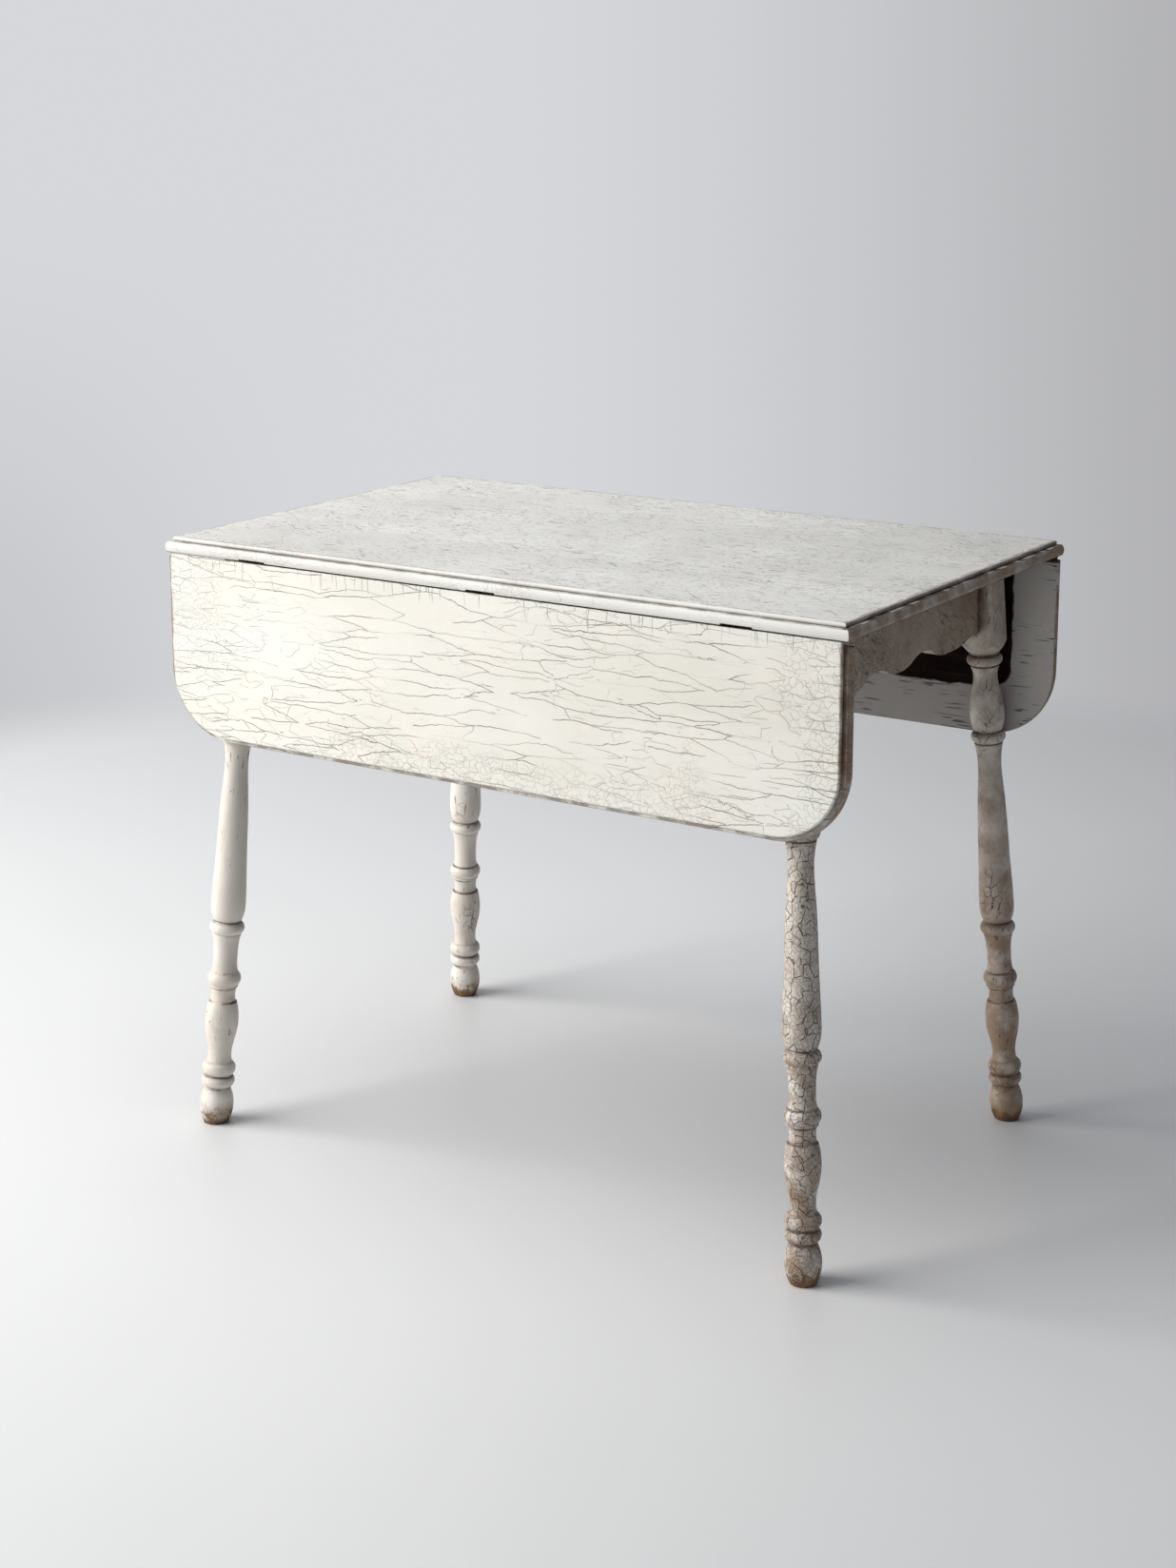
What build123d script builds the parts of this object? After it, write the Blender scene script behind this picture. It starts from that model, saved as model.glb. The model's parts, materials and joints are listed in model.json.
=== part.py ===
from build123d import *
from math import sqrt
import os

# Drop leaf table. Origin on the floor under the middle of the top, +X along the
# table, +Y to the back, +Z up. Millimetres.

# Overall size
top_length = 914
top_width = 559
table_height = 737
leaf_width = 226
leaf_corner_radius = 87

# Rule joint: both mouldings are drawn from one centre line, the hinge pin's line
pin_depth = 12.5
pin_above_underside = 5.5
top_thickness = pin_depth + pin_above_underside
bead_radius = pin_depth
small_bead_height = 5.5
small_bead_centre = 3.0
cove_clearance = 0.4
lip_gap = 1.0

# Turned legs, each with a square block at the top, splayed both ways
block_size = 44
block_chamfer = 4
leg_top_x = 372
leg_top_y = 226
leg_foot_x = 414
leg_foot_y = 270

# Aprons
apron_thickness = 18
end_apron_face_x = 381
long_apron_face_y = 237
end_apron_depth = 99
long_apron_depth = 100
tenon_thickness = 8
tenon_setback = 5
tenon_low = 16
tenon_high = 22

# Fly brackets let into the long aprons
bracket_pin_x = 230
bracket_reach = 185
bracket_height = 46
bracket_clearance = 0.7
bracket_pin_radius = 3
bracket_pin_length = 70

# Iron hinges
hinge_places = {"left": -325, "middle": 0, "right": 325}
hinge_length = 38
plate_thickness = 2
knuckle_radius = 4
hinge_pin_radius = 1.6
hinge_play = 0.05
knuckle_gap = 0.4
fixed_plate_reach = 34
leaf_plate_reach = 54
plate_clearance = 0.2
knuckle_room = 0.4
strap_end = 6.1

# Wood screws
screw_shank = 1.7
screw_head = 3.3
hinge_screw_length = 12
fixing_screw_length = 46

# Corner blocks
corner_block_leg = 60
corner_block_height = 60
fixing_inset = 24
fixing_sink = corner_block_height - fixing_screw_length + 10

# Derived places
pin_z = table_height - pin_depth
underside_z = table_height - top_thickness
pin_y = top_width / 2 - bead_radius
end_x = top_length / 2 - bead_radius
leaf_bottom_z = underside_z - lip_gap - leaf_width
boards_split_y = 97

made = {}


def keep(name, shape):
    """Stores a finished piece under the name of its node."""
    shape.label = name
    made[name] = shape
    return shape


def both_sides(back_name, front_name, shape):
    """Keeps a piece at the back and its mirror image at the front."""
    keep(back_name, shape)
    keep(front_name, mirror(shape, about=Plane.XZ))


# Top and leaves ------------------------------------------------------------------

def edge_section(plane, reach):
    """Half of a moulded board: x runs out to the edge from the bead's centre, y up."""
    step_y = pin_depth - small_bead_height
    under_x = sqrt(bead_radius**2 - pin_above_underside**2)
    step_x = sqrt(bead_radius**2 - step_y**2)
    small_radius = small_bead_height / 2
    small_out = (small_bead_centre + small_radius, pin_depth - small_radius)
    with BuildSketch(plane) as sketch:
        with BuildLine():
            Line((-reach, -pin_above_underside), (under_x, -pin_above_underside))
            ThreePointArc((under_x, -pin_above_underside), (bead_radius, 0), (step_x, step_y))
            Line((step_x, step_y), (small_bead_centre, step_y))
            ThreePointArc((small_bead_centre, step_y), small_out, (small_bead_centre, pin_depth))
            Line((small_bead_centre, pin_depth), (-reach, pin_depth))
            Line((-reach, pin_depth), (-reach, -pin_above_underside))
        make_face()
    return sketch.sketch


def moulded_bar(plane, reach, half_length):
    """A board moulded on one edge, as long as asked each way from the plane."""
    return extrude(edge_section(plane, reach), amount=half_length, both=True)


def table_top():
    """The whole top, moulded on four edges with mitred corners."""
    across = Plane(origin=(0, pin_y, pin_z), x_dir=(0, 1, 0), z_dir=(1, 0, 0))
    along = Plane(origin=(end_x, 0, pin_z), x_dir=(1, 0, 0), z_dir=(0, -1, 0))
    back = moulded_bar(across, pin_y, top_length)
    right = moulded_bar(along, end_x, top_width)
    lengthwise = back + mirror(back, about=Plane.XZ)
    crosswise = right + mirror(right, about=Plane.YZ)
    return lengthwise & crosswise


def leaf_blank():
    """The back leaf hanging, before its top edge is coved: moulded ends, foot and corners."""
    bead_bottom_z = leaf_bottom_z + bead_radius
    corner_z = leaf_bottom_z + leaf_corner_radius
    corner_x = top_length / 2 - leaf_corner_radius
    sweep_reach = leaf_corner_radius - bead_radius
    height = pin_z - corner_z
    foot_plane = Plane(origin=(0, pin_y, bead_bottom_z), x_dir=(0, 0, -1), z_dir=(1, 0, 0))
    end_plane = Plane(origin=(end_x, pin_y, corner_z), x_dir=(1, 0, 0), z_dir=(0, 0, 1))
    foot = moulded_bar(foot_plane, sweep_reach, corner_x)
    end = extrude(edge_section(end_plane, sweep_reach), amount=height)
    corner = revolve(
        edge_section(end_plane, sweep_reach),
        axis=Axis((corner_x, 0, corner_z), (0, 1, 0)),
        revolution_arc=90,
    )
    field = Pos(0, pin_y + (pin_depth - pin_above_underside) / 2, corner_z + height / 2)
    field = field * Box(2 * corner_x, top_thickness, height)
    return field + foot + end + corner + mirror(end + corner, about=Plane.YZ)


def hinge_pocket(x):
    """Room in the top's underside for one back hinge, with its raised leaf plate."""
    length = hinge_length + 2 * plate_clearance
    low = -pin_above_underside
    plate_top = low + plate_thickness
    knuckle_back = -(pin_above_underside + knuckle_room)
    round_room = Cylinder(knuckle_radius + knuckle_room, length, rotation=(0, 90, 0))
    square_room = section_box(length, knuckle_back, knuckle_radius + knuckle_room, low, 0)
    fixed_room = section_box(length, -fixed_plate_reach - plate_clearance, 0, low, plate_top)
    raised_room = section_box(length, 0, 2 * bead_radius, low, plate_top + 0.3)
    return Pos(x, pin_y, pin_z) * (round_room + square_room + fixed_room + raised_room)


def section_box(length, out_from, out_to, up_from, up_to, lengthwise=0):
    """A box round the pin's line: outward and upward limits, centred along the pin."""
    place = Pos(lengthwise, (out_from + out_to) / 2, (up_from + up_to) / 2)
    return place * Box(length, out_to - out_from, up_to - up_from)


def leaf_gain(x):
    """Room in the back leaf's inner face for one hinge plate."""
    length = hinge_length + 2 * plate_clearance
    inner = -pin_above_underside
    bottom = -leaf_plate_reach - plate_clearance
    return Pos(x, pin_y, pin_z) * section_box(
        length, inner, inner + plate_thickness, bottom, 0
    )


def back_leaf():
    """The back leaf, hanging, coved to turn round the top's bead."""
    cove = Cylinder(bead_radius + cove_clearance, 2 * top_length, rotation=(0, 90, 0))
    inner_cut = section_box(2 * top_length, -20, 0, -bead_radius - cove_clearance, 20)
    lip_cut = section_box(2 * top_length, -20, 20, -pin_above_underside - lip_gap, 20)
    leaf = leaf_blank() - Pos(0, pin_y, pin_z) * (cove + inner_cut + lip_cut)
    for x in hinge_places.values():
        leaf -= leaf_gain(x)
        leaf -= place_leaf_screws(x)
    return leaf


# Hinges --------------------------------------------------------------------------

def wood_screw(length):
    """A countersunk wood screw, its head at z = 0 and its point down."""
    head_depth = screw_head - screw_shank
    with BuildSketch(Plane.XZ) as sketch:
        with BuildLine():
            Polyline(
                (0, 0),
                (screw_head, 0),
                (screw_shank, -head_depth),
                (screw_shank, -length + 3),
                (0, -length),
                close=True,
            )
        make_face()
    return revolve(sketch.sketch, axis=Axis.Z)


def hinge_screw_offsets():
    """Screw places on a hinge plate: along the pin, and a share of the plate's reach."""
    return ((-12, 0.45), (12, 0.45), (0, 0.80))


def place_fixed_screws(x):
    """The screws that hold one back hinge's fixed plate up into the top."""
    screw = Rot(180, 0, 0) * wood_screw(hinge_screw_length)
    solids = []
    for along, share in hinge_screw_offsets():
        place = Pos(x + along, pin_y - share * fixed_plate_reach, underside_z)
        solids.append(place * screw)
    return Compound(children=solids)


def place_leaf_screws(x):
    """The screws that hold one back hinge's leaf plate to the leaf's inner face."""
    screw = Rot(90, 0, 0) * wood_screw(hinge_screw_length)
    inner_y = pin_y - pin_above_underside
    solids = []
    for along, share in hinge_screw_offsets():
        place = Pos(x + along, inner_y, pin_z - share * leaf_plate_reach)
        solids.append(place * screw)
    return Compound(children=solids)


def knuckle(start, end, bore):
    """One knuckle round the pin's line, between two distances along it."""
    tube = Cylinder(knuckle_radius, end - start, rotation=(0, 90, 0))
    hole = Cylinder(bore, end - start, rotation=(0, 90, 0))
    return Pos((start + end) / 2, 0, 0) * (tube - hole)


def strap(start, end):
    """The root that joins a knuckle to its plate, lying under the pin, inward."""
    low = -pin_above_underside
    middle = (start + end) / 2
    strip = section_box(end - start, -strap_end, 0, low, low + plate_thickness, middle)
    root = section_box(end - start, -knuckle_radius + 1, 0, low, -hinge_pin_radius - 0.7, middle)
    return strip + root


def knuckle_spans():
    """The three knuckles' ends along the pin: fixed, leaf, fixed."""
    third = hinge_length / 3
    half_gap = knuckle_gap / 2
    return (
        (-hinge_length / 2, -third / 2 - half_gap),
        (-third / 2 + half_gap, third / 2 - half_gap),
        (third / 2 + half_gap, hinge_length / 2),
    )


def fixed_plate(x):
    """The hinge half let into the top's underside."""
    left, _, right = knuckle_spans()
    low = -pin_above_underside
    plate = section_box(hinge_length, -fixed_plate_reach, -strap_end, low, low + plate_thickness)
    for start, end in (left, right):
        plate += strap(start, end)
        plate += knuckle(start, end, hinge_pin_radius)
    return Pos(x, pin_y, pin_z) * plate - place_fixed_screws(x)


def leaf_plate(x):
    """The hinge half let into the leaf, shown hanging."""
    _, (start, end), _ = knuckle_spans()
    inner = -pin_above_underside
    plate = section_box(
        hinge_length, inner, inner + plate_thickness, -leaf_plate_reach, -strap_end
    )
    plate += mirror(Rot(90, 0, 0) * strap(start, end), about=Plane.XZ)
    plate += knuckle(start, end, hinge_pin_radius + hinge_play)
    return Pos(x, pin_y, pin_z) * plate - place_leaf_screws(x)


def hinge_pin(x):
    """The pin, held tight in the fixed knuckles."""
    return Pos(x, pin_y, pin_z) * Cylinder(hinge_pin_radius, hinge_length, rotation=(0, 90, 0))


# Legs ----------------------------------------------------------------------------

def turned_section():
    """Half of the leg's turning, from the foot up to the block: x is radius, y height."""
    with BuildSketch(Plane.XZ) as sketch:
        with BuildLine():
            Line((0, -4), (14.5, -4))
            Line((14.5, -4), (15, 0))
            ThreePointArc((15, 0), (20.6, 22), (16, 44))
            Line((16, 44), (16, 47))
            ThreePointArc((16, 47), (20.4, 54), (17, 61))
            Line((17, 61), (17.4, 63))
            ThreePointArc((17.4, 63), (20.6, 71), (15.6, 79))
            Spline((15.6, 79), (14.2, 89), (15.4, 101), (18.8, 116), (20.4, 140), (17.4, 157))
            Line((17.4, 157), (15.4, 159))
            ThreePointArc((15.4, 159), (14.7, 167), (15.6, 175))
            Line((15.6, 175), (17.6, 177))
            Line((17.6, 177), (17.6, 180))
            ThreePointArc((17.6, 180), (20.7, 187.5), (17.4, 195))
            Line((17.4, 195), (16.2, 197))
            Spline((16.2, 197), (14.8, 218), (17.6, 243), tangents=((-0.3, 1), (0.35, 1)))
            Line((17.6, 243), (17.6, 246))
            ThreePointArc((17.6, 246), (21.4, 253), (17.4, 260))
            Line((17.4, 260), (16.4, 261.5))
            Line((16.4, 261.5), (17.4, 263))
            Spline(
                (17.4, 263),
                (20.2, 272),
                (21.2, 290),
                (19.5, 332),
                (15.9, 428),
                (14.7, 474),
                (17.2, 489),
            )
            Line((17.2, 489), (17.2, 491))
            ThreePointArc((17.2, 491), (20.9, 497.5), (17.2, 504))
            Line((17.2, 504), (16.4, 505))
            Line((16.4, 505), (17.4, 506.5))
            Spline((17.4, 506.5), (21, 527), (18.2, 551), (14.6, 575), (16.4, 583))
            ThreePointArc((16.4, 583), (17, 585), (16, 587))
            ThreePointArc((16, 587), (21.5, 593.5), (17.6, 600))
            Line((17.6, 600), (17, 601))
            ThreePointArc((17, 601), (23.5, 609), (34, 621))
            Line((34, 621), (34, 740))
            Line((34, 740), (0, 740))
            Line((0, 740), (0, -4))
        make_face()
    return sketch.sketch


def upright_leg():
    """A leg on its own upright axis, longer than needed at both ends."""
    turned = revolve(turned_section(), axis=Axis.Z)
    square = Pos(0, 0, 370) * Box(block_size, block_size, 760)
    square = chamfer(square.edges().filter_by(Axis.Z), block_chamfer)
    return turned & square


def leg_plane():
    """The back right leg's plane: at its foot, looking up its splayed axis."""
    lean = (leg_top_x - leg_foot_x, leg_top_y - leg_foot_y, underside_z)
    return Plane(origin=(leg_foot_x, leg_foot_y, 0), x_dir=(underside_z, 0, -lean[0]), z_dir=lean)


def splayed_leg():
    """The back right leg in place, cut level at the floor and under the top."""
    leg = leg_plane().location * upright_leg()
    level = Pos(leg_top_x, leg_top_y, underside_z / 2) * Box(400, 400, underside_z)
    return leg & level


def block_prism():
    """The back right leg's square block, without its chamfers, to shoulder the aprons."""
    return leg_plane().location * (Pos(0, 0, 650) * Box(block_size, block_size, 220))


# Aprons --------------------------------------------------------------------------

def tenon_box(x_from, x_to, y_from, y_to):
    """A tenon between the given limits, as high as every tenon is."""
    low = underside_z - long_apron_depth + tenon_low
    high = underside_z - tenon_high
    place = Pos((x_from + x_to) / 2, (y_from + y_to) / 2, (low + high) / 2)
    return place * Box(x_to - x_from, y_to - y_from, high - low)


def end_tenon():
    """The right apron's back tenon."""
    outer = end_apron_face_x - tenon_setback
    return tenon_box(outer - tenon_thickness, outer, leg_top_y - 60, leg_top_y + 9)


def long_tenon():
    """The back apron's right tenon, stopped short of the end apron's."""
    outer = long_apron_face_y - tenon_setback
    stop = end_apron_face_x - tenon_setback - tenon_thickness - 1
    return tenon_box(leg_top_x - 60, stop, outer - tenon_thickness, outer)


def scroll_section():
    """Half of the end apron's face: x is distance from its middle, y is height."""
    low = underside_z - end_apron_depth
    plane = Plane(origin=(end_apron_face_x, 0, 0), x_dir=(0, 1, 0), z_dir=(1, 0, 0))
    with BuildSketch(plane) as sketch:
        with BuildLine():
            Line((0, underside_z), (0, low + 2))
            ThreePointArc((0, low + 2), (16, low + 3), (30, low + 7))
            ThreePointArc((30, low + 7), (58, low + 14.5), (82, low + 11))
            Line((82, low + 11), (84, low + 9.5))
            ThreePointArc((84, low + 9.5), (100, low + 2.5), (128, low))
            ThreePointArc((128, low), (160, low + 1), (190, low + 8))
            Line((190, low + 8), (245, low + 8))
            Line((245, low + 8), (245, underside_z))
            Line((245, underside_z), (0, underside_z))
        make_face()
    return sketch.sketch


def end_apron(blocks, tenons):
    """The right apron: scrolled below, shouldered to both leaning blocks."""
    half = extrude(scroll_section(), amount=-apron_thickness)
    board = half + mirror(half, about=Plane.XZ)
    inside = Box(2 * end_apron_face_x, 2 * (leg_top_y + 4), 2 * table_height)
    return (board & inside) - blocks + tenons


def bracket_notch():
    """The gap in the back apron's upper edge that its fly bracket fills."""
    height = bracket_height + 2 * bracket_clearance
    near = bracket_pin_x - bracket_reach - bracket_clearance - 6
    far = bracket_pin_x + apron_thickness / 2 + 1
    place = Pos((near + far) / 2, long_apron_face_y, underside_z - height / 2)
    return place * Box(far - near, 3 * apron_thickness, height)


def long_apron(blocks, tenons):
    """The back apron: plain, notched for the fly bracket and drilled for its pin."""
    middle_y = long_apron_face_y - apron_thickness / 2
    place = Pos(0, middle_y, underside_z - long_apron_depth / 2)
    board = place * Box(2 * leg_top_x, apron_thickness, long_apron_depth)
    return board - blocks + tenons - bracket_notch() - bracket_pin()


def bracket_pin():
    """The iron pin that the back fly bracket turns on, driven into the apron."""
    middle_y = long_apron_face_y - apron_thickness / 2
    place = Pos(bracket_pin_x, middle_y, underside_z - bracket_clearance - bracket_pin_length / 2)
    return place * Cylinder(bracket_pin_radius, bracket_pin_length)


def fly_bracket():
    """The back fly bracket at rest in the apron, round at its pin and bevelled at its tip."""
    middle_y = long_apron_face_y - apron_thickness / 2
    middle_z = underside_z - bracket_clearance - bracket_height / 2
    tip_x = bracket_pin_x - bracket_reach
    arm = Box(bracket_reach, apron_thickness, bracket_height)
    arm = Pos(tip_x + bracket_reach / 2, middle_y, middle_z) * arm
    eye = Pos(bracket_pin_x, middle_y, middle_z) * Cylinder(apron_thickness / 2, bracket_height)
    bevel = Pos(tip_x, middle_y - apron_thickness / 2, middle_z)
    bevel = bevel * Rot(0, 0, 45) * Box(14, 14, 2 * bracket_height)
    toe = Pos(tip_x, middle_y, middle_z - bracket_height / 2)
    toe = toe * Rot(0, 45, 0) * Box(26, 2 * apron_thickness, 26)
    hole = Cylinder(bracket_pin_radius + hinge_play, 2 * bracket_height)
    return arm + eye - bevel - toe - Pos(bracket_pin_x, middle_y, middle_z) * hole


# Corner blocks -------------------------------------------------------------------

def corner_block():
    """The back right glue block, in the corner between two aprons, cut back for the leg."""
    inner_x = end_apron_face_x - apron_thickness
    inner_y = long_apron_face_y - apron_thickness
    with BuildSketch(Plane.XY.offset(underside_z - corner_block_height)) as sketch:
        with BuildLine():
            Polyline(
                (inner_x, inner_y),
                (inner_x - corner_block_leg, inner_y),
                (inner_x, inner_y - corner_block_leg),
                close=True,
            )
        make_face()
    return extrude(sketch.sketch, amount=corner_block_height)


def fixing_place(height):
    """Where the fixing screw stands in its corner block, at a height in the block."""
    inner_x = end_apron_face_x - apron_thickness
    inner_y = long_apron_face_y - apron_thickness
    bottom_z = underside_z - corner_block_height
    return Pos(inner_x - fixing_inset, inner_y - fixing_inset, bottom_z + height)


def fixing_screw():
    """The long screw up through the back right corner block into the top."""
    return fixing_place(fixing_sink) * Rot(180, 0, 0) * wood_screw(fixing_screw_length)


def screw_well():
    """The counterbore under the fixing screw's head."""
    return fixing_place(fixing_sink / 2) * Cylinder(screw_head + 1.5, fixing_sink)


# Assembly ------------------------------------------------------------------------

def four_corners(shape):
    """A back right piece and its three mirror images, by corner name."""
    left = mirror(shape, about=Plane.YZ)
    return {
        "back_right": shape,
        "back_left": left,
        "front_right": mirror(shape, about=Plane.XZ),
        "front_left": mirror(left, about=Plane.XZ),
    }


def all_of(shapes):
    """One compound of several solids."""
    return Compound(children=list(shapes))


def build():
    """Makes every piece of the table."""
    fixing = four_corners(fixing_screw())
    end_tenons = four_corners(end_tenon())
    long_tenons = four_corners(long_tenon())
    blocks = four_corners(block_prism())

    top = table_top() - all_of(fixing.values())
    for x in hinge_places.values():
        cut = hinge_pocket(x) + place_fixed_screws(x)
        top -= cut
        top -= mirror(cut, about=Plane.XZ)
    middle = Box(2 * top_length, 2 * boards_split_y, 4 * table_height)
    beyond = Pos(0, boards_split_y + top_width / 2, 0)
    beyond = beyond * Box(2 * top_length, top_width, 4 * table_height)
    keep("top_board_middle", top & middle)
    keep("top_board_back", top & beyond)
    keep("top_board_front", top & mirror(beyond, about=Plane.XZ))
    both_sides("back_leaf", "front_leaf", back_leaf())

    leg = splayed_leg() - end_tenon() - long_tenon()
    for corner, shape in four_corners(leg).items():
        keep("leg_" + corner, shape)

    right_tenons = end_tenons["back_right"] + end_tenons["front_right"]
    right_blocks = blocks["back_right"] + blocks["front_right"]
    right = end_apron(right_blocks, right_tenons)
    keep("apron_right", right)
    keep("apron_left", mirror(right, about=Plane.YZ))
    back_tenons = long_tenons["back_right"] + long_tenons["back_left"]
    back_blocks = blocks["back_right"] + blocks["back_left"]
    both_sides("apron_back", "apron_front", long_apron(back_blocks, back_tenons))

    both_sides("back_fly_bracket", "front_fly_bracket", fly_bracket())
    both_sides("back_bracket_pin", "front_bracket_pin", bracket_pin())

    wedge = corner_block() - block_prism() - fixing_screw() - screw_well()
    for corner, shape in four_corners(wedge).items():
        keep("corner_block_" + corner, shape)
    keep("top_fixing_screws", all_of(fixing.values()))

    for place, x in hinge_places.items():
        both_sides(
            "back_" + place + "_hinge_fixed_plate",
            "front_" + place + "_hinge_fixed_plate",
            fixed_plate(x),
        )
        both_sides(
            "back_" + place + "_hinge_leaf_plate",
            "front_" + place + "_hinge_leaf_plate",
            leaf_plate(x),
        )
        both_sides(
            "back_" + place + "_hinge_pin",
            "front_" + place + "_hinge_pin",
            hinge_pin(x),
        )
    fixed_screws = all_of(place_fixed_screws(x) for x in hinge_places.values())
    leaf_screws = all_of(place_leaf_screws(x) for x in hinge_places.values())
    both_sides("back_hinge_top_screws", "front_hinge_top_screws", fixed_screws)
    both_sides("back_hinge_leaf_screws", "front_hinge_leaf_screws", leaf_screws)


build()
os.makedirs("parts", exist_ok=True)
for name, shape in made.items():
    export_step(shape, "parts/" + name + ".step")
print(len(made), "pieces")
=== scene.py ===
import json
import math

import bpy
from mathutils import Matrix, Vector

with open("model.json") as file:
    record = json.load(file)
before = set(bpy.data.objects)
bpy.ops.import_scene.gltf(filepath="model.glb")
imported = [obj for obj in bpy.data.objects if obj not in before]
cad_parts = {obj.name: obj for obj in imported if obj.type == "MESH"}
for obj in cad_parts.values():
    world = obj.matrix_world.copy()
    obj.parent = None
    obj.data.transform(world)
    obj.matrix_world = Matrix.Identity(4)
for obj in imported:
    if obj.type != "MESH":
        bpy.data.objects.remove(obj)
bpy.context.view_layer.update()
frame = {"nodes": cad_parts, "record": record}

NODES = frame["nodes"]


def rgb(red, green, blue):
    """A colour with its alpha, from screen values of 0 to 255."""
    linear = [((c / 255 + 0.055) / 1.055) ** 2.4 for c in (red, green, blue)]
    return (*linear, 1.0)


# Places on the table, in metres, that the paint follows. The table is the same on both sides,
# so a place is measured on its back right quarter. ------------------------------------------

TABLE_HEIGHT = 0.737
TOP_HALF_LENGTH = 0.457
TOP_FIELD_X = 0.4455
TOP_FIELD_Y = 0.2680
UNDERSIDE = 0.719
TOP_QUIRK = (0.7313, 0.7321)
LEAF_FOOT = 0.492
LEAF_TOP = 0.722
LEAF_INNER_Y = 0.2615
LARGE_BEAD_Y = (LEAF_INNER_Y + 0.001, LEAF_INNER_Y + 0.012)
LEAF_QUIRK_Y = (LEAF_INNER_Y + 0.012, LEAF_INNER_Y + 0.0135)
END_APRON_INNER_X = 0.363
LONG_APRON_INNER_Y = 0.219

LEFT_LEGS_X = -0.42
RIGHT_LEGS_X = 0.40
BETWEEN_LEGS_Y = (-0.15, 0.15)
FOOT_PLACE = (0.414, 0.270, 0.0)
LEG_RUN = (-0.0582, -0.0610, 0.9964)
LEG_GROOVES = (0.0455, 0.062, 0.158, 0.176, 0.196, 0.2615, 0.490, 0.505, 0.587, 0.6005)

# The bare middle of a leaf's inner face: where its round corners start, and their radius
BARE_CORNER_X = TOP_HALF_LENGTH - 0.085
BARE_CORNER_Z = LEAF_FOOT + 0.088
BARE_CORNER_RADIUS = (0.029, 0.032)

# Colours ------------------------------------------------------------------------------------

# A leaf's duller inner paint, and the same paint with painted light for the table's ends
INNER_PAINT_AND_PAINTED_LIGHT = (rgb(152, 146, 142), rgb(190, 185, 180))
SMEAR = rgb(176, 168, 155)
# Brown for stains and grime, and for painted shade on the right-hand legs
STAIN_AND_PAINTED_SHADE = rgb(150, 126, 103)
# Dark brown for grime and painted shade in grooves and corners
CREVICE_GRIME_AND_SHADE = rgb(82, 56, 42)
DUST = rgb(80, 62, 50)
SCUFFED_WOOD = (rgb(62, 50, 38), rgb(128, 112, 90))
DARK_WOOD = (rgb(12, 6, 4), rgb(40, 21, 13))
FOOT_WOOD = (rgb(84, 62, 42), rgb(142, 112, 78))
IRON = rgb(58, 54, 52)
RUST = rgb(104, 62, 40)
FLOOR_GREYS = (rgb(222, 222, 222), rgb(228, 228, 227))
WALL_LEFT = rgb(214, 215, 218)
WALL_RIGHT_PAINTED_SHADE = rgb(168, 168, 171)
WALL_LOW_LEFT_PAINTED_SHADE = rgb(193, 194, 197)
SKYLIGHT = rgb(222, 228, 240)

# The studio ---------------------------------------------------------------------------------

LENS_MM = 61.75
SENSOR_MM = 36.0
CAMERA_SHIFT = -0.10
CAMERA_PLACE = (1.668, -2.671, 1.325)
CAMERA_DOWN = 12.47
CAMERA_TURN = 32.53
VIEW_RIGHT = (0.843, 0.538, 0.0)
FLOOR_RADIUS = 2.6
FLOOR_FADE = (2.0, 2.5)
SKYLIGHT_STRENGTH = 0.225

# Grain: noise scales along the table's length, along its depth, and up ----------------------

LEVEL_GRAIN = (1.5, 14.0, 14.0)
UPRIGHT_GRAIN = (14.0, 14.0, 2.0)
APRON_GRAIN = (14.0, 5.0, 14.0)
LEVEL_WOOD = (2.0, 60.0, 60.0)
UPRIGHT_WOOD = (60.0, 60.0, 2.0)
END_WOOD = (60.0, 2.0, 60.0)


# Node graphs --------------------------------------------------------------------------------

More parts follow.
